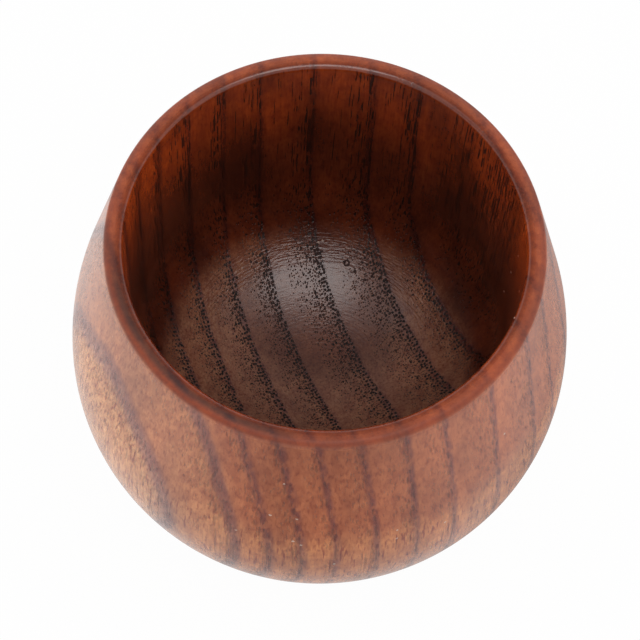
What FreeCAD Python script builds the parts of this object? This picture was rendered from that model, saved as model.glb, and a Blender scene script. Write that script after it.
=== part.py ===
import FreeCAD, Part
import math
import os
import Sketcher

# A small turned wooden cup, in millimetres, made from one block of wood.
# Z is the turning axis, and the origin is the middle of the foot's flat underside.
# The outside swells from the foot to the belly and leans in again to the mouth.
# The inside is a slightly tapered bore, a wide rounded corner and a dished floor.

# Name in the sheet, value in millimetres (the taper in degrees), and what it sets.
SIZES = [
    ("cup_height", 65.0, "from the table to the top of the rim"),
    ("mouth_diameter", 67.6, "outside, where the shoulder meets the top of the rim"),
    ("belly_overhang", 6.2, "how far the belly stands out beyond the mouth, on each side"),
    ("shoulder_height", 33.6, "from the belly's widest place up to the top of the rim"),
    ("shoulder_lead", 6.9, "above the widest place, where belly and shoulder lines cross"),
    ("foot_diameter", 46.6, "outside, before its edge is rounded"),
    ("foot_edge_radius", 0.8, "of the edge around the flat underside"),
    ("rim_thickness", 2.8, "of the wall at the top"),
    ("rim_outer_radius", 1.2, "of the rim's outer edge"),
    ("rim_inner_radius", 1.0, "of the rim's inner edge"),
    ("bore_taper", 2.0, "how much each side of the bore leans in on its way down"),
    ("floor_thickness", 13.0, "under the middle of the dished floor"),
    ("corner_radius", 19.0, "where the inside wall turns into the floor"),
    ("floor_radius", 45.0, "of the floor's shallow dish"),
]

# An edge's rounding never takes more than this share of the rim's thickness.
RIM_SHARE = 0.45

# How far off a circle may lie and still be the edge that is looked for.
EDGE_REACH = 0.01

# Points of a line or an arc, as a sketch numbers them, and the sketch's own axes.
START, END, CENTRE = 1, 2, 3
ORIGIN, HEIGHT_AXIS = -1, -2

# Which way an arc's circle faces in a sketch.
FACING = FreeCAD.Vector(0, 0, 1)


def make_sheet(doc):
    """A spreadsheet with one named cell for each driving size."""
    sheet = doc.addObject("Spreadsheet::Sheet", "Sizes")
    for row, (name, value, note) in enumerate(SIZES, start=1):
        sheet.set(f"A{row}", name)
        sheet.set(f"B{row}", str(value))
        sheet.set(f"C{row}", note)
        sheet.setAlias(f"B{row}", name)
    doc.recompute()
    return sheet


def origin_plane(body, role):
    """The body's own origin plane with this role."""
    return next(item for item in body.Origin.OriginFeatures if item.Role == role)


def half_section(body, name):
    """An upright sketch through the axis: its X is the radius and its Y the height."""
    sketch = body.newObject("Sketcher::SketchObject", name)
    sketch.AttachmentSupport = [(origin_plane(body, "XZ_Plane"), "")]
    sketch.MapMode = "FlatFace"
    return sketch


def point(radius, height):
    """A point of a half section."""
    return FreeCAD.Vector(radius, height, 0)


def add_line(sketch, start, end, construction=False):
    """A straight line between two points."""
    return sketch.addGeometry(Part.LineSegment(start, end), construction)


def add_arc(sketch, centre, start, end):
    """An arc that runs anticlockwise from one point to another."""
    first = math.atan2(start.y - centre.y, start.x - centre.x)
    last = math.atan2(end.y - centre.y, end.x - centre.x)
    circle = Part.Circle(centre, FACING, centre.distanceToPoint(start))
    return sketch.addGeometry(Part.ArcOfCircle(circle, first, last), False)


def tie(sketch, name, expression, *constraint):
    """A named dimension whose value follows the sheet."""
    index = sketch.addConstraint(Sketcher.Constraint(*constraint))
    sketch.renameConstraint(index, name)
    sketch.setExpression(f"Constraints.{name}", expression)


def fix(sketch, *constraint):
    """A constraint with no value of its own."""
    sketch.addConstraint(Sketcher.Constraint(*constraint))


def turn(body, kind, name, sketch):
    """A full turn of a half section about the height axis."""
    feature = body.newObject(kind, name)
    feature.Profile = sketch
    feature.ReferenceAxis = (sketch, ["V_Axis"])
    feature.Angle = 360.0
    sketch.Visibility = False
    return feature


def draw_outside(body, sheet):
    """The blank's half section: foot, round lower side, belly, shoulder and top."""
    mouth = point(sheet.mouth_diameter / 2, sheet.cup_height)
    belly = point(mouth.x + sheet.belly_overhang, sheet.cup_height - sheet.shoulder_height)
    foot = point(sheet.foot_diameter / 2, 0)
    crossing = point(belly.x, belly.y + sheet.shoulder_lead)

    # The lower side is a circle through the foot whose centre is level with the belly.
    inset = belly.x - foot.x
    lower_radius = (inset ** 2 + belly.y ** 2) / (2 * inset)
    lower_centre = point(belly.x - lower_radius, belly.y)

    # The shoulder's arc touches the belly's upright line and the slope to the mouth.
    lean = math.atan2(mouth.x - crossing.x, mouth.y - crossing.y)
    upper_radius = sheet.shoulder_lead / math.tan(abs(lean) / 2)
    upper_centre = point(belly.x - upper_radius, belly.y)
    slope_start = crossing + (mouth - crossing).normalize() * sheet.shoulder_lead

    sketch = half_section(body, "OutsideProfile")
    base = add_line(sketch, point(0, 0), foot)
    lower = add_arc(sketch, lower_centre, foot, belly)
    upper = add_arc(sketch, upper_centre, belly, slope_start)
    slope = add_line(sketch, slope_start, mouth)
    top = add_line(sketch, mouth, point(0, mouth.y))
    axis = add_line(sketch, point(0, mouth.y), point(0, 0))
    lead = add_line(sketch, belly, crossing, construction=True)

    fix(sketch, "Coincident", base, START, ORIGIN, START)
    fix(sketch, "Horizontal", base)
    fix(sketch, "Coincident", base, END, lower, START)
    fix(sketch, "Tangent", lower, END, upper, START)
    fix(sketch, "Horizontal", lower, CENTRE, lower, END)
    fix(sketch, "Tangent", upper, END, slope, START)
    fix(sketch, "Coincident", slope, END, top, START)
    fix(sketch, "Horizontal", top)
    fix(sketch, "Coincident", top, END, axis, START)
    fix(sketch, "Coincident", axis, END, ORIGIN, START)
    fix(sketch, "Vertical", axis)
    fix(sketch, "Coincident", lead, START, lower, END)
    fix(sketch, "Vertical", lead)
    fix(sketch, "PointOnObject", lead, END, slope)

    tie(sketch, "foot_radius", "Sizes.foot_diameter / 2",
        "DistanceX", ORIGIN, START, base, END, foot.x)
    tie(sketch, "belly_radius", "Sizes.mouth_diameter / 2 + Sizes.belly_overhang",
        "DistanceX", ORIGIN, START, lower, END, belly.x)
    tie(sketch, "belly_height", "Sizes.cup_height - Sizes.shoulder_height",
        "DistanceY", ORIGIN, START, lower, END, belly.y)
    tie(sketch, "mouth_radius", "Sizes.mouth_diameter / 2",
        "DistanceX", ORIGIN, START, slope, END, mouth.x)
    tie(sketch, "height", "Sizes.cup_height",
        "DistanceY", ORIGIN, START, slope, END, mouth.y)
    tie(sketch, "lead", "Sizes.shoulder_lead",
        "DistanceY", lead, START, lead, END, sheet.shoulder_lead)
    return sketch


def draw_inside(body, sheet):
    """The hollow's half section: tapered bore, rounded corner and dished floor."""
    top_edge = point(sheet.mouth_diameter / 2 - sheet.rim_thickness, sheet.cup_height)
    taper = math.radians(sheet.bore_taper)
    floor = point(0, sheet.floor_thickness)
    floor_centre = point(0, floor.y + sheet.floor_radius)

    # The corner touches the bore and, from inside, the floor's larger circle.
    depth = top_edge.y - floor.y
    reach = sheet.floor_radius - sheet.corner_radius
    corner_x = top_edge.x - math.tan(taper) * (depth - sheet.corner_radius) - sheet.corner_radius
    corner_centre = point(corner_x, floor_centre.y - math.sqrt(reach ** 2 - corner_x ** 2))
    outward = (corner_centre - floor_centre).normalize()
    floor_end = corner_centre + outward * sheet.corner_radius
    wall_end = corner_centre + point(math.cos(taper), -math.sin(taper)) * sheet.corner_radius

    sketch = half_section(body, "InsideProfile")
    top = add_line(sketch, point(0, top_edge.y), top_edge)
    wall = add_line(sketch, top_edge, wall_end)
    corner = add_arc(sketch, corner_centre, floor_end, wall_end)
    dish = add_arc(sketch, floor_centre, floor, floor_end)
    axis = add_line(sketch, floor, point(0, top_edge.y))

    fix(sketch, "PointOnObject", top, START, HEIGHT_AXIS)
    fix(sketch, "Horizontal", top)
    fix(sketch, "Coincident", top, END, wall, START)
    fix(sketch, "Tangent", wall, END, corner, END)
    fix(sketch, "Tangent", corner, START, dish, END)
    fix(sketch, "PointOnObject", dish, CENTRE, HEIGHT_AXIS)
    fix(sketch, "Coincident", dish, START, axis, START)
    fix(sketch, "PointOnObject", axis, START, HEIGHT_AXIS)
    fix(sketch, "Coincident", axis, END, top, START)

    tie(sketch, "bore_radius", "Sizes.mouth_diameter / 2 - Sizes.rim_thickness",
        "DistanceX", ORIGIN, START, top, END, top_edge.x)
    tie(sketch, "rim_height", "Sizes.cup_height",
        "DistanceY", ORIGIN, START, top, END, top_edge.y)
    tie(sketch, "floor_height", "Sizes.floor_thickness",
        "DistanceY", ORIGIN, START, dish, START, floor.y)
    tie(sketch, "taper", "90 - Sizes.bore_taper",
        "Angle", top, END, wall, START, math.pi / 2 - taper)
    tie(sketch, "corner", "Sizes.corner_radius", "Radius", corner, sheet.corner_radius)
    tie(sketch, "dish", "Sizes.floor_radius", "Radius", dish, sheet.floor_radius)
    return sketch


def circle_edges(shape, radius, height):
    """The names of the shape's round edges with this radius at this height."""
    names = []
    for number, edge in enumerate(shape.Edges, start=1):
        if edge.Degenerated or not isinstance(edge.Curve, Part.Circle):
            continue
        curve = edge.Curve
        if abs(curve.Radius - radius) < EDGE_REACH and abs(curve.Center.z - height) < EDGE_REACH:
            names.append(f"Edge{number}")
    return names


def round_edge(doc, body, name, radius, height, expression):
    """Round the body's circular edge with this radius at this height."""
    base = body.Tip
    names = circle_edges(base.Shape, radius, height)
    if not names:
        raise ValueError(f"{name}: no edge of radius {radius:.3f} at height {height:.3f}")
    fillet = body.newObject("PartDesign::Fillet", name)
    fillet.Base = (base, names)
    fillet.setExpression("Radius", expression)
    body.Tip = fillet
    doc.recompute()
    return fillet


def make_cup(doc, sheet):
    """The whole cup: blank, hollow, then the three rounded edges."""
    body = doc.addObject("PartDesign::Body", "Cup")
    body.Label = "cup"

    blank = turn(body, "PartDesign::Revolution", "Blank", draw_outside(body, sheet))
    doc.recompute()

    hollow = turn(body, "PartDesign::Groove", "Hollow", draw_inside(body, sheet))
    doc.recompute()
    if not hollow.Shape.Volume < blank.Shape.Volume:
        raise ValueError("the hollow cuts nothing away")

    mouth_radius = sheet.mouth_diameter / 2
    bore_radius = mouth_radius - sheet.rim_thickness
    rim_limit = f"Sizes.rim_thickness * {RIM_SHARE}"
    round_edge(doc, body, "RimOuterEdge", mouth_radius, sheet.cup_height,
               f"min(Sizes.rim_outer_radius; {rim_limit})")
    round_edge(doc, body, "RimInnerEdge", bore_radius, sheet.cup_height,
               f"min(Sizes.rim_inner_radius; {rim_limit})")
    round_edge(doc, body, "FootEdge", sheet.foot_diameter / 2, 0,
               "Sizes.foot_edge_radius")

    body.Placement = FreeCAD.Placement()
    return body


def check(doc, bodies):
    """Stop if anything failed to compute, or a piece isn't one sound solid."""
    for item in doc.Objects:
        if "Invalid" in item.State or "Error" in item.State:
            raise ValueError(f"{item.Name} failed: {item.State}")
        if item.TypeId == "Sketcher::SketchObject" and not item.FullyConstrained:
            raise ValueError(f"{item.Name} isn't fully constrained")
    for body in bodies:
        shape = body.Shape
        if shape.isNull() or not shape.isValid() or len(shape.Solids) != 1:
            raise ValueError(f"{body.Label} isn't one sound solid")


def write(bodies):
    """One file for each piece, named by its label."""
    os.makedirs("parts", exist_ok=True)
    for body in bodies:
        body.Shape.exportStep(f"parts/{body.Label}.step")
        box = body.Shape.BoundBox
        print(f"{body.Label}: {box.XLength:.2f} x {box.YLength:.2f} x {box.ZLength:.2f} mm, "
              f"{body.Shape.Volume / 1000:.1f} cm3")


def main():
    doc = FreeCAD.newDocument("WoodenCup")
    sheet = make_sheet(doc)
    bodies = [make_cup(doc, sheet)]
    doc.recompute()
    check(doc, bodies)
    write(bodies)


main()
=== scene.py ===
import math

import bpy
import numpy as np
from mathutils import Matrix, Vector


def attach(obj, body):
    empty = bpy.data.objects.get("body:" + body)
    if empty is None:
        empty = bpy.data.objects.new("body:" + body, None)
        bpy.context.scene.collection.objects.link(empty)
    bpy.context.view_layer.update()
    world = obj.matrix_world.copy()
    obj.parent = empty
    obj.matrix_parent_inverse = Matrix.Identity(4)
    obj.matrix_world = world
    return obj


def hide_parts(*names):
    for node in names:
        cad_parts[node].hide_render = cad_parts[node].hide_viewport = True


# A small turned wooden cup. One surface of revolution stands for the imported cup, and its
# wood is a solid pattern: growth rings, pores and fibres run up the block, so the walls
# show dashes where the floor shows dots, as in the real thing.

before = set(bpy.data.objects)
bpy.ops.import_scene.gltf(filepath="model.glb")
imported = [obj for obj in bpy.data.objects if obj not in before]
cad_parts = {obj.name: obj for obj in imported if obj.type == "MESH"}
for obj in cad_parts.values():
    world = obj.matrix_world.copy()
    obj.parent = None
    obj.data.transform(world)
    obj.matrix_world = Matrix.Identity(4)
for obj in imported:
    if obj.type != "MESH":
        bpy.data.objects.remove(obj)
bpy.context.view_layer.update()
print("frame loaded")

metresPerMm = 0.001
mmPerMetre = 1000.0


def srgb(hexColour):
    # each channel of an sRGB hex value turned to linear light, with alpha 1
    parts = [int(hexColour[i:i + 2], 16) / 255 for i in (1, 3, 5)]
    return [p / 12.92 if p <= 0.04045 else ((p + 0.055) / 1.055) ** 2.4 for p in parts] + [1.0]


def addNode(tree, kind, inputs=None, **settings):
    # one node with its settings; an input is a plain value or another node's output; a Mix
    # node's vectors are its inputs 4 and 5, its colours 6 and 7, and its amount is 0
    node = tree.nodes.new(kind)
    for name, value in settings.items():
        setattr(node, name, value)
    for socket, value in (inputs or {}).items():
        if isinstance(value, bpy.types.NodeSocket):
            tree.links.new(value, node.inputs[socket])
        else:
            node.inputs[socket].default_value = value
    return node


# the cup's shape

cup = {
    # sizes in mm, as the cup is turned
    "height": 65.0, "mouthRadius": 33.8, "bellyRadius": 40.0, "bellyHeight": 31.4,
    "shoulderLead": 6.9, "footRadius": 23.3, "footEdge": 0.8,
    "rimThickness": 2.8, "rimOuterEdge": 1.2, "rimInnerEdge": 1.0,
    "boreTaper": math.radians(2.0), "floorHeight": 13.0,
    "cornerRadius": 19.0, "floorRadius": 45.0,
    # how fine the mesh is: points round the cup and the longest step along its profile; how
    # much coarser the flat foot and finer the flat rim are; steps to a small edge's radius
    "around": 400, "step": 0.8, "footCoarser": 2, "rimFiner": 3, "footEdgeSteps": 6, "rimEdgeSteps": 8,
}


def arcPoints(centre, radius, start, end, step):
    # points at equal angles on a circle, from one angle to the other
    count = max(6, int(abs(end - start) * radius / step) + 1)       # a short arc has 6 of them
    angle = np.linspace(start, end, count)
    return np.stack([centre[0] + radius * np.cos(angle), centre[1] + radius * np.sin(angle)], axis=1)


def linePoints(start, end, step):
    # points at equal distances on a straight line
    count = max(3, int(math.dist(start, end) / step) + 1)           # a short line has 3 of them
    return np.linspace(start, end, count)


def roundedCorner(corner, back, onward, radius, steps):
    # an arc that touches both straight lines that leave the corner
    back = np.array(back) / np.hypot(*back)
    onward = np.array(onward) / np.hypot(*onward)
    half = math.acos(float(back @ onward)) / 2
    middle = (back + onward) / np.hypot(*(back + onward))
    centre = np.array(corner) + middle * radius / math.sin(half)
    first = np.array(corner) + back * radius / math.tan(half) - centre
    last = np.array(corner) + onward * radius / math.tan(half) - centre
    start = math.atan2(first[1], first[0])
    turn = math.atan2(last[1], last[0]) - start
    turn = (turn + math.pi) % (2 * math.pi) - math.pi
    return arcPoints(centre, radius, start, start + turn, radius / steps)


def cupProfile():
    # half section as (radius, height) in mm: under the foot, up the outside, over the rim,
    # down the bore, round the inside corner and along the dished floor to the middle
    step, belly, bellyHeight = cup["step"], cup["bellyRadius"], cup["bellyHeight"]
    inset = belly - cup["footRadius"]
    lowerRadius = (inset ** 2 + bellyHeight ** 2) / (2 * inset)
    lowerCentre = (belly - lowerRadius, bellyHeight)

    # the foot's edge is a small circle inside the lower side's large one
    edge = cup["footEdge"]
    edgeX = lowerCentre[0] + math.sqrt((lowerRadius - edge) ** 2 - (bellyHeight - edge) ** 2)
    edgeEnd = math.atan2(edge - lowerCentre[1], edgeX - lowerCentre[0])
    foot = linePoints((0, 0), (edgeX, 0), cup["footCoarser"] * step)
    footEdge = arcPoints((edgeX, edge), edge, -math.pi / 2, edgeEnd, edge / cup["footEdgeSteps"])
    lower = arcPoints(lowerCentre, lowerRadius, edgeEnd, 0, step)

    # the shoulder's arc touches the belly's upright line and the slope to the mouth
    rise = cup["height"] - bellyHeight - cup["shoulderLead"]
    lean = math.atan2(belly - cup["mouthRadius"], rise)
    upperRadius = cup["shoulderLead"] / math.tan(lean / 2)
    upper = arcPoints((belly - upperRadius, bellyHeight), upperRadius, 0, lean, step)
    mouth = (cup["mouthRadius"], cup["height"])
    slopeDown = (math.sin(lean), -math.cos(lean))
    rimOuter = roundedCorner(mouth, slopeDown, (-1, 0), cup["rimOuterEdge"], cup["rimEdgeSteps"])
    slope = linePoints(upper[-1], rimOuter[0], step)

    taper = cup["boreTaper"]
    bore = (cup["mouthRadius"] - cup["rimThickness"], cup["height"])
    boreDown = (-math.sin(taper), -math.cos(taper))
    rimInner = roundedCorner(bore, (1, 0), boreDown, cup["rimInnerEdge"], cup["rimEdgeSteps"])
    rimTop = linePoints(rimOuter[-1], rimInner[0], step / cup["rimFiner"])

    # the inside corner touches the bore and, from inside, the floor's larger circle
    corner, dish = cup["cornerRadius"], cup["floorRadius"]
    dishHeight = cup["floorHeight"] + dish
    reach = math.cos(taper) * bore[0] - math.sin(taper) * (bore[1] - dishHeight) - corner
    meeting = -math.acos(reach / (dish - corner)) - taper
    cornerCentre = ((dish - corner) * math.cos(meeting), dishHeight + (dish - corner) * math.sin(meeting))
    insideCorner = arcPoints(cornerCentre, corner, -taper, meeting, step)
    wall = linePoints(rimInner[-1], insideCorner[0], step)
    floor = arcPoints((0, dishHeight), dish, meeting, -math.pi / 2, step)

    stretches = [foot, footEdge, lower, upper, slope, rimOuter, rimTop, rimInner, wall, insideCorner, floor]
    points = np.concatenate([foot[:1]] + [stretch[1:] for stretch in stretches])
    points[[0, -1], 0] = 0
    return points


# the block of wood and the zones of its surface

wood = {
    # growth rings, in mm: which way they lie, how they curve, how they lean with depth, and
    # where each year starts, from the pith's side outwards
    "ringTurn": math.radians(30.0), "ringBend": 0.00363, "ringTwist": 2.88e-5, "fibreLean": 0.0085,
    "yearStarts": [45.0, 38.2, 31.6, 24.4, 18.5, 9.2, 0.2, -6.3, -12.7, -18.5,
                   -22.9, -26.8, -30.3, -36.2, -43.0],
    "rowSpacing": 0.60,            # mm between the rows of large pores
    # mm: how far the vessels wander, over what width across the block and what height up it
    "wander": 0.06, "wanderWidth": 11.0, "wanderHeight": 30.0,
    # how many waves make that up, how their sizes vary, and the random seed of each use
    "waves": 12, "waveSizes": (0.5, 1.8), "ringSeed": 3, "rowSeed": 5, "borderSeed": 11,
}
# What each zone of the surface shows: its stain, how open its pores look, how strongly a
# year's first pores tint the wood around them and how far that tint spreads, how deep the
# gouge's marks are, how often lacquer fills a vessel, and its roughness; then how strong
# its flecks, its fibres and its slow changes of tone are, how much rougher its pores are,
# how strong its sparse reddish streaks are, and how unbroken its tinted bands are.
zoneFields = ["pores", "tint", "wide", "marks", "broken", "rough",
              "fleck", "fibre", "tone", "dull", "streak", "whole"]
zones = {
    "slope": ("#9a583b", 0.35, 0.80, 1.0, 0.0, 0.7, 0.23, 0.7, 0.5, 0.4, 0.2, 0.1, 0.30),
    "belly": ("#ad6c45", 0.32, 0.80, 0.8, 0.0, 0.7, 0.24, 0.8, 0.8, 0.4, 0.2, 1.0, 0.55),
    "paleWood": ("#ba835f", 0.32, 0.80, 0.8, 0.0, 0.7, 0.24, 0.8, 0.8, 0.4, 0.2, 1.0, 0.55),
    "rim": ("#9a4f32", 0.15, 0.65, 1.0, 0.0, 0.3, 0.34, 0.5, 0.5, 0.6, 0.2, 0.0, 0.40),
    "wornRim": ("#432a20", 0.15, 1.00, 1.0, 0.0, 0.3, 0.50, 0.5, 0.5, 0.7, 0.2, 0.0, 0.40),
    "edge": ("#83340e", 0.08, 0.35, 0.5, 0.0, 0.3, 0.62, 0.4, 0.5, 0.4, 0.1, 0.0, 0.30),
    "lip": ("#702c10", 0.30, 0.60, 0.8, 0.0, 0.3, 0.11, 0.4, 0.5, 0.4, 0.1, 0.0, 0.40),
    # The hollow's wall has a darker stain than the outside, partly its own deeper stain and partly painted
    # shade; its top is lighter, as painted light near the rim.
    "wallTop": ("#7f3210", 0.90, 0.90, 0.6, 0.3, 0.9, 0.27, 0.6, 1.0, 1.0, 0.0, 0.0, 0.40),
    "wall": ("#5b2613", 0.90, 0.90, 0.6, 0.6, 0.9, 0.27, 0.6, 1.0, 1.0, 0.0, 0.0, 0.40),
    "floor": ("#6b3e2e", 1.00, 0.60, 0.5, 1.0, 0.1, 0.22, 0.8, 1.0, 0.4, 0.6, 0.0, 0.22),
    # a paler floor away from its middle: painted light over the end grain
    "paintedLightFloor": ("#96654f", 1.00, 0.60, 0.5, 1.2, 0.1, 0.24, 0.8, 1.0, 0.4, 0.6, 0.0, 0.22),
}
zoneEdges = {
    # mm: the height of the belly's top edge, half the width over which it fades, and how many
    # times further than the vessels it wanders
    "bellyTop": 41.0, "bellyFade": 2.2, "bellyWander": 12.0,
    # mm along the profile: how far the rim's zones reach past its flat top, outside and
    # inside, and over what width the wall then starts
    "rimReach": 1.6, "lipReach": 0.6, "rimFade": 0.4,
    # the thin outer edge and inner lip: their place as a share of the rounding, and half width
    "edgePlace": 0.6, "edgeWidth": 0.7, "lipPlace": 0.55, "lipWidth": 0.85,
    "floorStart": (0.56, 0.80),            # shares of end grain between which wall becomes floor
    "paintedLightRise": (36.0, 60.0),              # heights in mm between which the wall grows lighter and redder: painted light near the rim
    # the grey, worn stretch of the rim: round which angle, and where it starts and stops fading
    "wornMiddle": math.radians(227), "wornReach": (math.radians(22), math.radians(50)),
    # mm: at which radius the gouge's marks are deepest, over what width, and how much deeper
    "ridge": 22.5, "ridgeReach": 3.2, "ridgeMarks": 2.2,
    # the block's last years are pale: from which year, to which, and by what share
    "paleYears": ((11.5, 12.2, 0.3), (12.95, 13.10, 0.7)),
    "wholeYears": (11.8, 11.95), "wholeShare": 0.8,                 # their dark bands are unbroken
    # the floor is darkest round a place this many mm behind its middle and painted paler further
    # out, as painted light: how many times shorter that reaches to the front and to the back,
    # and where in mm it turns pale
    "ringMiddle": 13.0, "ringSquash": (1.1, 0.8), "ringReach": (9.0, 17.0),
}


def smooth(value, low, high):
    # 0 below the low end, 1 above the high end and an even bend between them
    share = np.clip((value - low) / (high - low), 0, 1)
    return share * share * (3 - 2 * share)


def bell(offset, width):
    # 1 where the offset is 0, falling off on both sides as a bell curve
    return np.exp(-(offset / width) ** 2)


def carriedRound(row):
    # a value along the profile, repeated round the cup, with the two poles last
    return np.concatenate([np.repeat(row[1:-1], cup["around"]), row[[0, -1]]])


def wanderField(points, seed):
    # a sum of sine waves in random directions, slow across the block and slower up it
    random = np.random.default_rng(seed)
    field = np.zeros(len(points))
    for wave in range(wood["waves"]):
        turn, phase = random.uniform(0, 2 * math.pi, 2)
        width = wood["wanderWidth"] * random.uniform(*wood["waveSizes"])
        height = wood["wanderHeight"] * random.uniform(*wood["waveSizes"])
        across = (points[:, 0] * math.cos(turn) + points[:, 1] * math.sin(turn)) / width
        field += np.sin(2 * math.pi * (across + points[:, 2] / height) + phase)
    return field * wood["wander"] / math.sqrt(wood["waves"] / 2)


def growthRings(points):
    # a ring is a bent sheet that stands nearly upright: its distance across the cup is
    # the turned x, less a square and a cube of the turned y, plus a lean with depth;
    # counting the year starts passed gives the years, with a fraction within each ring,
    # each year has a whole number of rows of pores, and its width is known
    x, y, z = points.T
    turn = wood["ringTurn"]
    across = x * math.cos(turn) + y * math.sin(turn)
    along = -x * math.sin(turn) + y * math.cos(turn)
    place = across - wood["ringBend"] * along ** 2 - wood["ringTwist"] * along ** 3
    place = place + wood["fibreLean"] * (cup["height"] - z)
    place = place + wanderField(points, wood["ringSeed"])
    starts = -np.array(wood["yearStarts"])
    rowStarts = np.concatenate([[0], np.cumsum(np.round(np.diff(starts) / wood["rowSpacing"]))])
    years = np.interp(-place, starts, np.arange(len(starts)))
    width = np.interp(years, np.arange(len(starts) - 1) + 0.5, np.diff(starts))
    return {"years": years, "rows": np.interp(-place, starts, rowStarts),
            "along": along + wanderField(points, wood["rowSeed"]), "width": width}


def zoneShares(profile, length, points, years):
    # how much of each zone every point of the cup belongs to; the shares add up to 1
    edges = zoneEdges
    slope = np.gradient(profile, axis=0)
    endGrain = np.abs(slope[:, 0]) / np.hypot(slope[:, 0], slope[:, 1])
    top = profile[:, 1] >= cup["height"] - 1e-6                     # the rim's flat top
    outer, inner = length[top][0], length[top][-1]
    half, lipReach = edges["edgeWidth"], edges["lipReach"]
    edge = bell(length - outer + cup["rimOuterEdge"] * edges["edgePlace"], half)
    lip = bell(length - inner - cup["rimInnerEdge"] * edges["lipPlace"], edges["lipWidth"]) * (1 - edge)
    rim = smooth(length, outer - edges["rimReach"], outer - half)
    rim = rim * smooth(-length, -inner - lipReach - half, -inner - lipReach)
    rim = rim * (1 - edge) * (1 - lip)
    inside = smooth(length, inner + lipReach, inner + lipReach + edges["rimFade"]) * (1 - lip)
    floor = smooth(endGrain, *edges["floorStart"])
    rows = {"edge": edge, "lip": lip, "rim": rim, "floor": inside * floor,
            "wall": inside * (1 - floor) * (1 - rim)}
    shares = {name: carriedRound(row) for name, row in rows.items()}
    rest = 1 - sum(shares.values())

    away = np.arctan2(points[:, 1], points[:, 0]) - edges["wornMiddle"]
    away = np.abs((away + math.pi) % (2 * math.pi) - math.pi)
    worn = 1 - smooth(away, *edges["wornReach"])
    shares["wornRim"] = shares["rim"] * worn
    shares["rim"] = shares["rim"] * (1 - worn)

    # painted light: the wall's stain grows lighter towards the rim
    wallPaintedLight = smooth(points[:, 2], *edges["paintedLightRise"])
    shares["wallTop"] = shares["wall"] * wallPaintedLight
    shares["wall"] = shares["wall"] * (1 - wallPaintedLight)

    border = edges["bellyTop"] + edges["bellyWander"] * wanderField(points, wood["borderSeed"])
    above = smooth(points[:, 2] - border, -edges["bellyFade"], edges["bellyFade"])
    pale = rest * sum(smooth(years, low, high) * share for low, high, share in edges["paleYears"])
    shares["paleWood"] = pale
    shares["slope"] = (rest - pale) * above
    shares["belly"] = (rest - pale) * (1 - above)

    # painted light: the floor's stain turns paler away from a place behind its middle
    behind = points[:, 1] - edges["ringMiddle"]
    behind = behind * np.where(behind < 0, *edges["ringSquash"])
    floorPaintedLight = smooth(np.hypot(points[:, 0], behind), *edges["ringReach"])
    shares["paintedLightFloor"] = shares["floor"] * floorPaintedLight
    shares["floor"] = shares["floor"] * (1 - floorPaintedLight)
    return shares


def turnedSurface(profile):
    # the profile is carried round the axis: x = r cos a, y = r sin a, z = height
    ring = profile[1:-1]
    around, rows = cup["around"], len(ring)
    angle = np.arange(around) * 2 * math.pi / around
    x = ring[:, :1] * np.cos(angle)
    y = ring[:, :1] * np.sin(angle)
    z = np.repeat(ring[:, 1:], around, axis=1)
    body = np.stack([x, y, z], axis=2).reshape(-1, 3)
    poles = np.array([[0, 0, profile[0, 1]], [0, 0, profile[-1, 1]]])

    row, column = np.meshgrid(np.arange(rows - 1), np.arange(around), indexing="ij")
    turned = (column + 1) % around
    quads = np.stack([row * around + column, row * around + turned,
                      (row + 1) * around + turned, (row + 1) * around + column], axis=2).reshape(-1, 4)
    spoke = np.arange(around)
    nextSpoke = (spoke + 1) % around
    under = np.full(around, rows * around)
    last = (rows - 1) * around
    footFan = np.stack([under, nextSpoke, spoke], axis=1)
    floorFan = np.stack([under + 1, last + spoke, last + nextSpoke], axis=1)
    return np.concatenate([body, poles]), quads.tolist() + footFan.tolist() + floorFan.tolist()


def woodFields(profile, points):
    # what the wood's pattern reads at each point: its place in the rings, how far along the
    # profile it is, and what its zones say
    length = np.concatenate([[0], np.cumsum(np.hypot(*np.diff(profile, axis=0).T))])
    fields = growthRings(points)
    fields["turned"] = carriedRound(length)
    shares = zoneShares(profile, length, points, fields["years"])
    for column, name in enumerate(zoneFields, 1):
        fields[name] = sum(share * zones[zone][column] for zone, share in shares.items())
    ridge = bell(np.hypot(points[:, 0], points[:, 1]) - zoneEdges["ridge"], zoneEdges["ridgeReach"])
    fields["marks"] = fields["marks"] * (1 + zoneEdges["ridgeMarks"] * ridge)
    unbroken = smooth(fields["years"], *zoneEdges["wholeYears"]) * zoneEdges["wholeShare"]
    fields["whole"] = np.maximum(fields["whole"], unbroken)
    stain = sum(share[:, None] * np.array(srgb(zones[zone][0])) for zone, share in shares.items())
    return fields, stain


def makeCup():
    # the turned surface as a mesh, with the wood's fields as attributes of its points
    profile = cupProfile()
    points, faces = turnedSurface(profile)
    mesh = bpy.data.meshes.new("cupShell")
    mesh.from_pydata((points * metresPerMm).tolist(), [], faces)
    mesh.polygons.foreach_set("use_smooth", np.ones(len(mesh.polygons), bool))
    fields, stain = woodFields(profile, points)
    for name, values in fields.items():
        layer = mesh.attributes.new(name, "FLOAT", "POINT")
        layer.data.foreach_set("value", values.astype(np.float32))
    layer = mesh.attributes.new("stain", "FLOAT_COLOR", "POINT")
    layer.data.foreach_set("color", stain.astype(np.float32).ravel())
    mesh.update()
    shell = bpy.data.objects.new("woodenCup", mesh)
    bpy.context.scene.collection.objects.link(shell)
    return shell


# the wood's material

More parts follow.
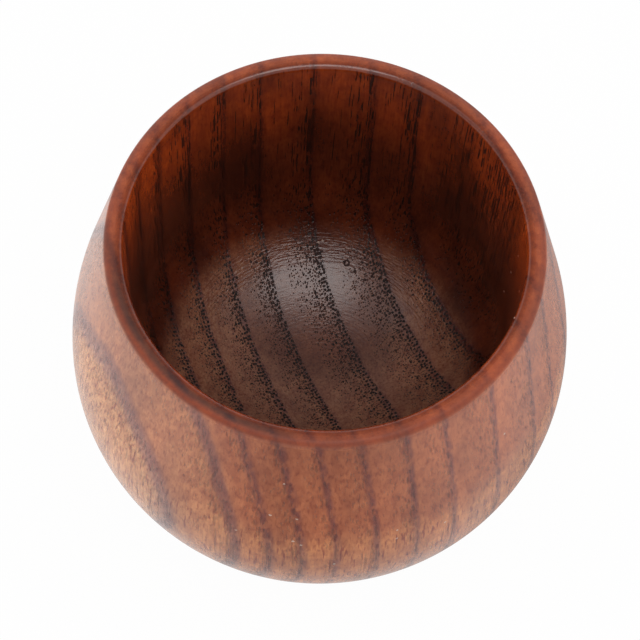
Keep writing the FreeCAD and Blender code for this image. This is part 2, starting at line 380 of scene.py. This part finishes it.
# Open-pored hardwood, turned, stained reddish brown and given a satin lacquer.
# The eye gets warm brown wood with dark pore lines at each year's start, a soft sheen,
# and pores that show as dots on the floor and as dashes on the walls.
woodLook = {
    "ior": 1.5,                                                         # of the lacquer
    "tinting": (0.42, 0.38, 0.80), "poreColour": "#120a08",             # tinting: share of the stain
    # mm after the year's start: where the crowd of pores ends, and where a tint and a
    # spread tint end; then how far before the start a spread tint begins
    "packed": (0.9, 1.8), "tinted": (0.7, 1.7), "spread": (0.4, 1.15), "lead": 0.7,
    "ragged": 0.9,                                                      # mm
    "later": (0.20, 0.95),                                              # share of the year
    # noise values: where the tone goes from dark to light, where a band goes from broken to
    # whole, and where lacquer goes from filling no vessel to filling each one
    "toneRange": (0.32, 0.68), "bandRange": (0.38, 0.56), "filledRange": (0.54, 0.44),
    "darkTone": (0.54, 0.46, 0.46), "lightTone": (1.42, 1.26, 1.05),    # shares of the stain
    "darker": (0.85, 1.25, 1.15),       # how much a shade takes off red, green and blue
    "smallPores": 0.8,                  # how dark a small pore is beside a large one
    "poreGrowth": 0.35,                 # how far the crowd passes a pore's lot until it is full size
    "poreCore": 0.75,                   # share of a pore's radius that is fully dark
    "poreDepth": 0.045, "fibreDepth": 0.004,                            # mm
    # the gouge's marks in mm: how wide, how long, how deep; and the detail of both
    "longMarks": (0.34, 7.0, 0.018), "shortMarks": (0.38, 1.0, 0.026), "markDetail": 2.0,
}
# Noise: its width in mm, how many times longer it is up the block than across it, and its
# detail. Real fibres are 0.02 mm wide; they are drawn coarser so that they show.
woodNoises = {
    "tone": (8.0, 3.0, 3.0),       # slow changes of tone
    "fibre": (0.32, 16.0, 2.0),
    "fleck": (0.42, 3.0, 1.0),     # short dark rays and flecks
    "streak": (0.45, 9.0, 1.0),    # sparse reddish streaks low on the outside
    "mottle": (1.5, 1.6, 2.0),     # uneven uptake of the stain
    "blotch": (0.9, 2.6, 3.0),     # how ragged a year's dark band is
    "vessel": (0.5, 6.0, 1.0),     # stretches in which lacquer fills a vessel
}
# Shades on the stain: the noise values between which each goes from light to dark, how much
# it darkens, and what share of that it lightens.
woodShades = {
    "mottle": (0.35, 0.65, 0.20, 0.5),
    "fibre": (0.35, 0.70, 0.20, 0.5),
    "fleck": (0.52, 0.72, 0.32, 0.5),
    "streak": (0.58, 0.68, 0.55, 0.0),
}
# Two sizes of pore, each in a grid that follows the rings: how many times finer than the
# rows its cells are, how much a pore strays in its cell, the grid's shift, its radius in
# mm, and what share of the cells holds one while the pores are packed and later in the year.
poreLayers = {
    "large": {"finer": 1.0, "stray": 0.60, "shift": (-0.36, 0.0, 0.0), "radius": 0.24,
              "packed": 1.1, "later": 0.50},
    "small": {"finer": 1.5, "stray": 1.0, "shift": (0.5, 7.3, 0.0), "radius": 0.14,
              "packed": -0.3, "later": 1.15},
}
# Small marks in this cup's wood and lacquer, in degrees and mm: chips outside and inside are
# at an angle and a height, and the others are at x and y on the floor. A knot is a dark ring.
flaws = {
    "outerChips": [(-106.0, 39.7), (-98.6, 46.3), (-92.4, 46.3), (-92.9, 40.2), (-91.0, 39.2),
                   (-96.1, 54.7), (-83.3, 32.8), (-69.1, 41.0), (-69.1, 38.5), (-60.3, 30.1),
                   (-57.2, 37.5), (-38.0, 49.6), (-33.1, 29.2)],
    "innerChips": [(12.0, 47.0), (-1.1, 54.0), (13.4, 38.7), (9.8, 54.8), (-19.4, 64.4)],
    "floorChips": [(-1.2, 23.3), (-0.5, 23.6)],
    "pits": [(-0.5, 22.1), (-1.7, 22.1), (-0.9, 21.2), (5.3, 19.4), (8.2, 18.6), (7.1, 18.1),
             (9.5, 15.2), (-1.3, 22.4), (-1.2, 21.8), (-14.5, 16.2), (9.7, 17.1)],
    "knots": [(3.8, 20.6)],
    "chipRadius": 0.24, "pitRadius": 0.36, "knotRadius": 0.42, "knotWidth": 0.24,
    "core": 0.5,                        # share of a mark's radius in which it covers the wood
    "chipColour": "#b8a294", "pitColour": "#2a120c",
    "uneven": 0.4, "unevenWidth": 0.35, "unevenDetail": 1.0,    # mm: how ragged a mark's outline is
    "farAway": 1000.0,                  # mm, further off than any mark
}


def flawPlaces(kind, profile):
    # where marks are in mm: those on a side get its radius there, and the others the floor's
    # height
    top = int(np.argmax(profile[:, 1]))
    outer, inner = profile[:top + 1], profile[:top:-1]
    places = []
    for first, second in flaws[kind]:
        if kind in ("outerChips", "innerChips"):
            side = outer if kind == "outerChips" else inner
            angle, height = math.radians(first), second
            radius = float(np.interp(height, side[:, 1], side[:, 0]))
            places.append((radius * math.cos(angle), radius * math.sin(angle), height))
        else:
            height = float(np.interp(math.hypot(first, second), inner[:, 0], inner[:, 1]))
            places.append((first, second, height))
    return places


def nearest(tree, place, spots):
    # the distance to the nearest of some spots
    best = flaws["farAway"]
    for spot in spots:
        far = addNode(tree, "ShaderNodeVectorMath", {0: place, 1: spot}, operation="DISTANCE")
        best = addNode(tree, "ShaderNodeMath", {0: best, 1: far.outputs["Value"]},
                       operation="MINIMUM").outputs[0]
    return best


def addFlaws(tree, place, colour):
    # chips in the lacquer are pale; pits and the ring of a knot are dark
    profile = cupProfile()
    chips = [spot for kind in ("floorChips", "outerChips", "innerChips")
             for spot in flawPlaces(kind, profile)]
    size = 1 / (flaws["unevenWidth"] * metresPerMm)
    noise = addNode(tree, "ShaderNodeTexNoise", {"Vector": place, "Scale": size,
                                                 "Detail": flaws["unevenDetail"]}).outputs["Color"]
    noise = addNode(tree, "ShaderNodeVectorMath", {0: noise, 1: (0.5, 0.5, 0.5)},
                    operation="SUBTRACT").outputs[0]
    noise = addNode(tree, "ShaderNodeVectorMath", {0: noise, "Scale": flaws["uneven"]},
                    operation="SCALE").outputs[0]
    inMm = addNode(tree, "ShaderNodeVectorMath", {0: place, 1: (mmPerMetre,) * 3, 2: noise},
                   operation="MULTIPLY_ADD").outputs[0]
    knot = nearest(tree, inMm, flawPlaces("knots", profile))
    knot = addNode(tree, "ShaderNodeMath", {0: knot, 1: flaws["knotRadius"]}, operation="SUBTRACT").outputs[0]
    knot = addNode(tree, "ShaderNodeMath", {0: knot}, operation="ABSOLUTE").outputs[0]
    pit = nearest(tree, inMm, flawPlaces("pits", profile))
    chip = nearest(tree, inMm, chips)
    dull = 0.0
    for far, radius, paint in ((pit, flaws["pitRadius"], flaws["pitColour"]),
                               (knot, flaws["knotWidth"], flaws["pitColour"]),
                               (chip, flaws["chipRadius"], flaws["chipColour"])):
        share = addNode(tree, "ShaderNodeMapRange", {"Value": far, "From Min": radius,
                                                     "From Max": radius * flaws["core"]}).outputs[0]
        colour = addNode(tree, "ShaderNodeMix", {0: share, 6: colour, 7: srgb(paint)},
                         data_type="RGBA").outputs[2]
        dull = addNode(tree, "ShaderNodeMath", {0: dull, 1: share}, operation="MAXIMUM").outputs[0]
    return colour, dull


def poreMask(tree, fields, layer):
    # a vessel is a round spot in its cell, carried up the block; a cell keeps its spot
    # while its lot is below the crowd, and the last ones kept are the smallest
    finer = layer["finer"]
    grid = addNode(tree, "ShaderNodeCombineXYZ", {0: fields["rows"], 1: fields["sideways"]}).outputs[0]
    grid = addNode(tree, "ShaderNodeVectorMath", {0: grid, 1: (finer, finer, 1.0), 2: layer["shift"]},
                   operation="MULTIPLY_ADD").outputs[0]
    cells = addNode(tree, "ShaderNodeTexVoronoi", {"Vector": grid, "Scale": 1.0,
                                                   "Randomness": layer["stray"]}, voronoi_dimensions="2D")
    lot = addNode(tree, "ShaderNodeSeparateColor", {"Color": cells.outputs["Color"]}).outputs[0]
    crowd = addNode(tree, "ShaderNodeMath", {0: fields["later"], 1: layer["later"]},
                    operation="MULTIPLY").outputs[0]
    crowd = addNode(tree, "ShaderNodeMath", {0: fields["packed"], 1: layer["packed"], 2: crowd},
                    operation="MULTIPLY_ADD").outputs[0]
    spare = addNode(tree, "ShaderNodeMath", {0: crowd, 1: lot}, operation="SUBTRACT").outputs[0]
    fullSize = layer["radius"] * finer / wood["rowSpacing"]
    radius = addNode(tree, "ShaderNodeMapRange", {"Value": spare, "From Min": 0.0,
                                                  "From Max": woodLook["poreGrowth"],
                                                  "To Min": 0.0, "To Max": fullSize}).outputs[0]
    core = addNode(tree, "ShaderNodeMath", {0: radius, 1: woodLook["poreCore"]},
                   operation="MULTIPLY").outputs[0]
    return addNode(tree, "ShaderNodeMapRange", {"Value": cells.outputs["Distance"], "From Min": radius,
                                                "From Max": core}).outputs[0]


def addPores(tree, fields, noises):
    # the fraction of the year, the ragged distance from its start, and how crowded the pores
    # and how strong the tints are through it; then both sizes of pore, less what is filled
    season = addNode(tree, "ShaderNodeMath", {0: fields["years"]}, operation="FRACT").outputs[0]
    since = addNode(tree, "ShaderNodeMath", {0: season, 1: fields["width"]}, operation="MULTIPLY").outputs[0]
    shift = addNode(tree, "ShaderNodeMath", {0: noises["blotch"], 1: 0.5}, operation="SUBTRACT").outputs[0]
    since = addNode(tree, "ShaderNodeMath", {0: shift, 1: woodLook["ragged"], 2: since},
                    operation="MULTIPLY_ADD").outputs[0]
    for name, value, bend in (("packed", since, "SMOOTHSTEP"), ("tinted", since, "SMOOTHSTEP"),
                              ("spread", since, "SMOOTHSTEP"), ("later", season, "LINEAR")):
        start, end = woodLook[name]
        fields[name] = addNode(tree, "ShaderNodeMapRange", {"Value": value, "From Min": start,
                                                            "From Max": end, "To Min": 1.0, "To Max": 0.0},
                               interpolation_type=bend).outputs[0]
    fields["season"] = season

    large = poreMask(tree, fields, poreLayers["large"])
    small = poreMask(tree, fields, poreLayers["small"])
    small = addNode(tree, "ShaderNodeMath", {0: small, 1: woodLook["smallPores"]},
                    operation="MULTIPLY").outputs[0]
    pores = addNode(tree, "ShaderNodeMath", {0: large, 1: small}, operation="MAXIMUM").outputs[0]
    start, end = woodLook["filledRange"]
    filled = addNode(tree, "ShaderNodeMapRange", {"Value": noises["vessel"], "From Min": start,
                                                  "From Max": end, "To Min": 0.0,
                                                  "To Max": fields["broken"]}).outputs[0]
    unfilled = addNode(tree, "ShaderNodeMath", {0: 1.0, 1: filled}, operation="SUBTRACT").outputs[0]
    pores = addNode(tree, "ShaderNodeMath", {0: pores, 1: unfilled}, operation="MULTIPLY").outputs[0]
    return addNode(tree, "ShaderNodeMath", {0: pores, 1: fields["pores"]}, operation="MULTIPLY").outputs[0]


def stainedColour(tree, fields, noises):
    # the stain, varied by slow tone, mottling, fibres, flecks and streaks; in the vector form
    # of Map Range, inputs 7 and 8 are the range and 9 and 10 what it gives
    colour = addNode(tree, "ShaderNodeAttribute", attribute_name="stain").outputs["Color"]
    darkest, lightest = woodLook["toneRange"]
    warmth = addNode(tree, "ShaderNodeMapRange", {"Vector": noises["tone"], 7: (darkest,) * 3,
                                                  8: (lightest,) * 3, 9: woodLook["darkTone"],
                                                  10: woodLook["lightTone"]},
                     data_type="FLOAT_VECTOR").outputs[1]
    warmth = addNode(tree, "ShaderNodeMix", {0: fields["tone"], 4: (1.0, 1.0, 1.0), 5: warmth},
                     data_type="VECTOR").outputs[1]
    colour = addNode(tree, "ShaderNodeVectorMath", {0: colour, 1: warmth}, operation="MULTIPLY").outputs[0]
    for name, (low, high, amount, lift) in woodShades.items():
        shade = addNode(tree, "ShaderNodeMapRange", {"Value": noises[name], "From Min": low,
                                                     "From Max": high, "To Min": amount * lift,
                                                     "To Max": -amount}).outputs[0]
        strength = fields[name] if name in fields else 1.0
        shade = addNode(tree, "ShaderNodeMath", {0: shade, 1: strength}, operation="MULTIPLY").outputs[0]
        shade = addNode(tree, "ShaderNodeVectorMath", {0: shade, 1: woodLook["darker"], 2: (1.0, 1.0, 1.0)},
                        operation="MULTIPLY_ADD").outputs[0]
        colour = addNode(tree, "ShaderNodeVectorMath", {0: colour, 1: shade},
                         operation="MULTIPLY").outputs[0]
    return colour


def tintedColour(tree, fields, noises, colour):
    # a year's first pores tint the wood around them, in ragged patches; where the tint is
    # spread, it reaches further and starts a little before the year
    left = addNode(tree, "ShaderNodeMath", {0: 1.0, 1: fields["season"]}, operation="SUBTRACT").outputs[0]
    left = addNode(tree, "ShaderNodeMath", {0: left, 1: fields["width"]}, operation="MULTIPLY").outputs[0]
    before = addNode(tree, "ShaderNodeMapRange", {"Value": left, "From Min": woodLook["lead"],
                                                  "From Max": 0.0},
                     interpolation_type="SMOOTHSTEP").outputs[0]
    spread = addNode(tree, "ShaderNodeMath", {0: fields["spread"], 1: before}, operation="MAXIMUM").outputs[0]
    band = addNode(tree, "ShaderNodeMapRange", {"Value": fields["wide"], "To Min": fields["tinted"],
                                                "To Max": spread}).outputs[0]
    start, end = woodLook["bandRange"]
    patchy = addNode(tree, "ShaderNodeMapRange", {"Value": noises["blotch"], "From Min": start,
                                                  "From Max": end, "To Min": fields["whole"],
                                                  "To Max": 1.0}).outputs[0]
    band = addNode(tree, "ShaderNodeMath", {0: band, 1: patchy}, operation="MULTIPLY").outputs[0]
    band = addNode(tree, "ShaderNodeMath", {0: band, 1: fields["tint"]}, operation="MULTIPLY").outputs[0]
    tinting = addNode(tree, "ShaderNodeMix", {0: band, 4: (1.0, 1.0, 1.0), 5: woodLook["tinting"]},
                      data_type="VECTOR").outputs[1]
    return addNode(tree, "ShaderNodeVectorMath", {0: colour, 1: tinting}, operation="MULTIPLY").outputs[0]


def lacquerRelief(tree, place, fields, noises, pores):
    # pores are pits in the lacquer; the hollow keeps the gouge's fine turning lines, long
    # ones and short ripples, which follow the turning and fade within their reach
    relief = addNode(tree, "ShaderNodeMath", {0: pores, 1: -woodLook["poreDepth"]},
                     operation="MULTIPLY").outputs[0]
    relief = addNode(tree, "ShaderNodeMath", {0: noises["fibre"], 1: woodLook["fibreDepth"], 2: relief},
                     operation="MULTIPLY_ADD").outputs[0]
    for pitch, reach, depth in (woodLook["longMarks"], woodLook["shortMarks"]):
        size = 1 / (reach * metresPerMm)
        across = addNode(tree, "ShaderNodeMath", {0: fields["turned"], 1: 1 / pitch},
                         operation="MULTIPLY").outputs[0]
        across = addNode(tree, "ShaderNodeCombineXYZ", {2: across}).outputs[0]
        across = addNode(tree, "ShaderNodeVectorMath", {0: place, 1: (size, size, 0.0), 2: across},
                         operation="MULTIPLY_ADD").outputs[0]
        ripple = addNode(tree, "ShaderNodeTexNoise", {"Vector": across, "Scale": 1.0,
                                                      "Detail": woodLook["markDetail"]}).outputs["Fac"]
        ripple = addNode(tree, "ShaderNodeMath", {0: ripple, 1: fields["marks"]},
                         operation="MULTIPLY").outputs[0]
        relief = addNode(tree, "ShaderNodeMath", {0: ripple, 1: depth, 2: relief},
                         operation="MULTIPLY_ADD").outputs[0]
    return addNode(tree, "ShaderNodeBump", {"Height": relief, "Strength": 1.0,
                                            "Distance": metresPerMm}).outputs[0]


def makeWood():
    # stained wood, then tinted bands, pores and marks over it, under a lacquer with pits
    material = bpy.data.materials.new("lacqueredHardwood")
    material.use_nodes = True
    tree = material.node_tree
    tree.nodes.clear()
    place = addNode(tree, "ShaderNodeTexCoord").outputs["Object"]
    fields = {name: addNode(tree, "ShaderNodeAttribute", attribute_name=name).outputs["Fac"]
              for name in ["years", "rows", "along", "width", "turned"] + zoneFields}
    fields["sideways"] = addNode(tree, "ShaderNodeMath", {0: fields["along"], 1: 1 / wood["rowSpacing"]},
                                 operation="MULTIPLY").outputs[0]
    noises = {}
    for name, (width, stretch, detail) in woodNoises.items():
        size = 1 / (width * metresPerMm)
        stretched = addNode(tree, "ShaderNodeMapping", {"Vector": place,
                                                        "Scale": (size, size, size / stretch)})
        noises[name] = addNode(tree, "ShaderNodeTexNoise", {"Vector": stretched.outputs[0], "Scale": 1.0,
                                                            "Detail": detail}).outputs["Fac"]

    pores = addPores(tree, fields, noises)
    colour = stainedColour(tree, fields, noises)
    colour = tintedColour(tree, fields, noises, colour)
    colour = addNode(tree, "ShaderNodeMix", {0: pores, 6: colour, 7: srgb(woodLook["poreColour"])},
                     data_type="RGBA").outputs[2]
    colour, dull = addFlaws(tree, place, colour)
    dull = addNode(tree, "ShaderNodeMath", {0: dull, 1: pores}, operation="MAXIMUM").outputs[0]
    normal = lacquerRelief(tree, place, fields, noises, pores)
    roughness = addNode(tree, "ShaderNodeMath", {0: dull, 1: fields["dull"], 2: fields["rough"]},
                        operation="MULTIPLY_ADD").outputs[0]
    surface = addNode(tree, "ShaderNodeBsdfPrincipled", {"Base Color": colour, "Roughness": roughness,
                                                         "IOR": woodLook["ior"], "Normal": normal})
    addNode(tree, "ShaderNodeOutputMaterial", {"Surface": surface.outputs[0]})
    return material


woodenCup = makeCup()
woodenCup.data.materials.append(makeWood())
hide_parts("cup")
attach(woodenCup, "root")
print("cup made:", len(woodenCup.data.polygons), "faces")


# the studio

studio = {
    # the floor: its side in metres, its matt colour, and how much of it is plain white to
    # the camera and to reflections
    "floorSize": 6.0, "cardColour": (0.8, 0.8, 0.8, 1.0), "floorWhite": 0.97, "floorShine": 0.9,
    # how bright its reflection is in the middle, how much less per metre to the right, and
    # what share is left round a painted shadow in front, which ends between two distances in metres
    "shine": 1.0, "shineFall": 2.0,
    "dimPlace": (0.0, -0.098, 0.0), "dimShine": 0.25, "dimReach": (0.02, 0.075),
    # the same for the cup's own shade, which falls behind it to the right
    "shadePlace": (0.030, 0.020, 0.0), "shadeShine": 0.50, "shadeReach": (0.042, 0.054),
    # metres, and how many times brighter than white: one box above the camera
    "boxSize": (0.56, 0.43), "boxPlace": (0.095, -0.345, 0.75), "boxGlow": 3.3,
    # the tent: bright walls up to this height (as the sine of the elevation), a dim ceiling
    # from that one; each has an even glow and what is added towards both sides and the back
    "wallTop": 0.42, "ceilingStart": 0.62,
    "wallGlow": (1.60, (1.05, 1.1, 0.0)), "ceilingGlow": (0.0, (0.70, 0.70, 0.0)),
    # in reflections the ceiling holds a wide dimmer panel round the box: its middle and half
    # size, as distances across for each unit of height, and how soft its edges are; below
    # the least height, a sine too, it spreads no further
    "wallShine": 1.0, "ceilingShine": 0.38, "panelShine": 0.85, "panelPlace": (0.25, -0.68, 1.0),
    "panelReach": (1.40, 0.74, 1.0), "panelSoft": 0.80, "leastHeight": 0.05,
}


def makeCard():
    # matt white card: plain white to the camera and, less its painted shadows, in reflections; it keeps a
    # faint shadow
    material = bpy.data.materials.new("mattWhiteCard")
    material.use_nodes = True
    tree = material.node_tree
    tree.nodes.clear()
    path = addNode(tree, "ShaderNodeLightPath").outputs
    mirrored = addNode(tree, "ShaderNodeMath", {0: path["Is Glossy Ray"], 1: path["Is Transmission Ray"]},
                       operation="MAXIMUM").outputs[0]
    share = addNode(tree, "ShaderNodeMath", {0: mirrored, 1: studio["floorShine"]},
                    operation="MULTIPLY").outputs[0]
    share = addNode(tree, "ShaderNodeMath", {0: path["Is Camera Ray"], 1: studio["floorWhite"], 2: share},
                    operation="MULTIPLY_ADD").outputs[0]
    card = addNode(tree, "ShaderNodeBsdfDiffuse", {"Color": studio["cardColour"]})
    place = addNode(tree, "ShaderNodeTexCoord").outputs["Object"]
    right = addNode(tree, "ShaderNodeSeparateXYZ", {0: place}).outputs["X"]
    shine = addNode(tree, "ShaderNodeMath", {0: right, 1: -studio["shineFall"], 2: studio["shine"]},
                    operation="MULTIPLY_ADD", use_clamp=True).outputs[0]
    # painted shadows on the card's reflected white: one in front of the cup and the cup's own shade
    for kind in ("dim", "shade"):
        away = addNode(tree, "ShaderNodeVectorMath", {0: place, 1: studio[kind + "Place"]},
                       operation="DISTANCE").outputs["Value"]
        near, far = studio[kind + "Reach"]
        left = addNode(tree, "ShaderNodeMapRange", {"Value": away, "From Min": near, "From Max": far,
                                                    "To Min": studio[kind + "Shine"]}).outputs[0]
        shine = addNode(tree, "ShaderNodeMath", {0: shine, 1: left}, operation="MULTIPLY").outputs[0]
    shine = addNode(tree, "ShaderNodeMapRange", {"Value": mirrored, "To Min": 1.0, "To Max": shine})
    white = addNode(tree, "ShaderNodeEmission", {"Color": (1, 1, 1, 1), "Strength": shine.outputs[0]})
    mixed = addNode(tree, "ShaderNodeMixShader", {0: share, 1: card.outputs[0], 2: white.outputs[0]})
    addNode(tree, "ShaderNodeOutputMaterial", {"Surface": mixed.outputs[0]})
    return material


def makeFloor():
    # one square face that looks up, at the height of the foot
    half = studio["floorSize"] / 2
    corners = np.array([[-1, -1, 0], [1, -1, 0], [1, 1, 0], [-1, 1, 0]]) * half
    mesh = bpy.data.meshes.new("tableTop")
    mesh.from_pydata(corners.tolist(), [], [(0, 1, 2, 3)])
    mesh.materials.append(makeCard())
    floor = bpy.data.objects.new("tableTop", mesh)
    bpy.context.scene.collection.objects.link(floor)


def makeWorld():
    # light mostly from the tent's walls, little from its ceiling, so that the hollow stays dark;
    # plain white to the camera; in reflections, white walls and a grey ceiling with its panel
    world = bpy.data.worlds.new("studioWorld")
    world.use_nodes = True
    tree = world.node_tree
    tree.nodes.clear()
    path = addNode(tree, "ShaderNodeLightPath").outputs
    direction = addNode(tree, "ShaderNodeTexCoord").outputs["Generated"]
    split = addNode(tree, "ShaderNodeSeparateXYZ", {0: direction}).outputs
    sideways = addNode(tree, "ShaderNodeMath", {0: split["X"]}, operation="ABSOLUTE").outputs[0]
    slopes = addNode(tree, "ShaderNodeCombineXYZ", {0: sideways, 1: split["Y"]}).outputs[0]
    glows = []
    for even, added in (studio["wallGlow"], studio["ceilingGlow"]):
        glow = addNode(tree, "ShaderNodeVectorMath", {0: slopes, 1: added},
                       operation="DOT_PRODUCT").outputs["Value"]
        glow = addNode(tree, "ShaderNodeMath", {0: glow, 1: even}, operation="ADD").outputs[0]
        glows.append(addNode(tree, "ShaderNodeMath", {0: glow, 1: 0.0}, operation="MAXIMUM").outputs[0])
    levels = []
    for low, high in (glows, (studio["wallShine"], studio["ceilingShine"])):
        level = addNode(tree, "ShaderNodeMapRange", {"Value": split["Z"], "From Min": studio["wallTop"],
                                                     "From Max": studio["ceilingStart"], "To Min": low,
                                                     "To Max": high}, interpolation_type="SMOOTHSTEP")
        levels.append(level.outputs[0])
    strength, shine = levels

    # the panel is a rectangle on a level plane above the cup
    upward = addNode(tree, "ShaderNodeMath", {0: split["Z"], 1: studio["leastHeight"]},
                     operation="MAXIMUM").outputs[0]
    panel = addNode(tree, "ShaderNodeVectorMath", {0: direction, 1: upward}, operation="DIVIDE").outputs[0]
    panel = addNode(tree, "ShaderNodeVectorMath", {0: panel, 1: studio["panelPlace"]},
                    operation="SUBTRACT").outputs[0]
    panel = addNode(tree, "ShaderNodeVectorMath", {0: panel, 1: studio["panelReach"]},
                    operation="DIVIDE").outputs[0]
    panel = addNode(tree, "ShaderNodeVectorMath", {0: panel}, operation="ABSOLUTE").outputs[0]
    panelGlow = studio["panelShine"]
    for side in addNode(tree, "ShaderNodeSeparateXYZ", {0: panel}).outputs[:2]:
        inside = addNode(tree, "ShaderNodeMapRange", {"Value": side, "From Min": 1.0,
                                                      "From Max": studio["panelSoft"]},
                         interpolation_type="SMOOTHSTEP").outputs[0]
        panelGlow = addNode(tree, "ShaderNodeMath", {0: inside, 1: panelGlow},
                            operation="MULTIPLY").outputs[0]
    shine = addNode(tree, "ShaderNodeMath", {0: shine, 1: panelGlow}, operation="ADD").outputs[0]

    for ray, seen in (("Is Glossy Ray", shine), ("Is Transmission Ray", 1.0), ("Is Camera Ray", 1.0)):
        strength = addNode(tree, "ShaderNodeMapRange", {"Value": path[ray], "To Min": strength,
                                                        "To Max": seen}).outputs[0]
    light = addNode(tree, "ShaderNodeBackground", {"Color": (1, 1, 1, 1), "Strength": strength})
    addNode(tree, "ShaderNodeOutputWorld", {"Surface": light.outputs[0]})
    bpy.context.scene.world = world


def makeSoftbox():
    # one rectangular lamp that faces straight down
    lamp = bpy.data.lights.new("softbox", "AREA")
    lamp.shape = "RECTANGLE"
    width, depth = studio["boxSize"]
    lamp.size, lamp.size_y = width, depth
    lamp.energy = studio["boxGlow"] * math.pi * width * depth       # watts for that brightness
    softbox = bpy.data.objects.new("softbox", lamp)
    softbox.location = studio["boxPlace"]
    bpy.context.scene.collection.objects.link(softbox)


# The camera looks down at the cup from the front, a little rolled, half a metre away.
camera = {
    "aim": (-0.00008, -0.00025, 0.03848), "distance": 0.5,              # metres
    "elevation": math.radians(64.08), "roll": math.radians(3.82),
    "focalPixels": 3115.0, "imagePixels": 640,                          # focal length and picture width
    "sensor": 36.0,                                                     # mm
    "clip": (0.01, 20.0),                                               # metres
}


def makeCamera():
    # it looks along forward, and its side and up are turned about that by the roll
    elevation, roll = camera["elevation"], camera["roll"]
    forward = np.array([0, math.cos(elevation), -math.sin(elevation)])
    up = np.array([0, math.sin(elevation), math.cos(elevation)])
    side = np.array([1.0, 0, 0])
    rolledSide = side * math.cos(roll) + up * math.sin(roll)
    rolledUp = -side * math.sin(roll) + up * math.cos(roll)
    place = np.array(camera["aim"]) - forward * camera["distance"]
    turn = Matrix(np.stack([rolledSide, rolledUp, -forward], axis=1).tolist()).to_4x4()

    lens = bpy.data.cameras.new("studioCamera")
    lens.sensor_width = camera["sensor"]
    lens.lens = camera["focalPixels"] / camera["imagePixels"] * camera["sensor"]
    lens.clip_start, lens.clip_end = camera["clip"]
    eye = bpy.data.objects.new("studioCamera", lens)
    eye.matrix_world = Matrix.Translation(Vector(place)) @ turn
    bpy.context.scene.collection.objects.link(eye)
    bpy.context.scene.camera = eye


makeFloor()
makeWorld()
makeSoftbox()
makeCamera()
bpy.context.scene.view_settings.view_transform = "Standard"
print("studio made")
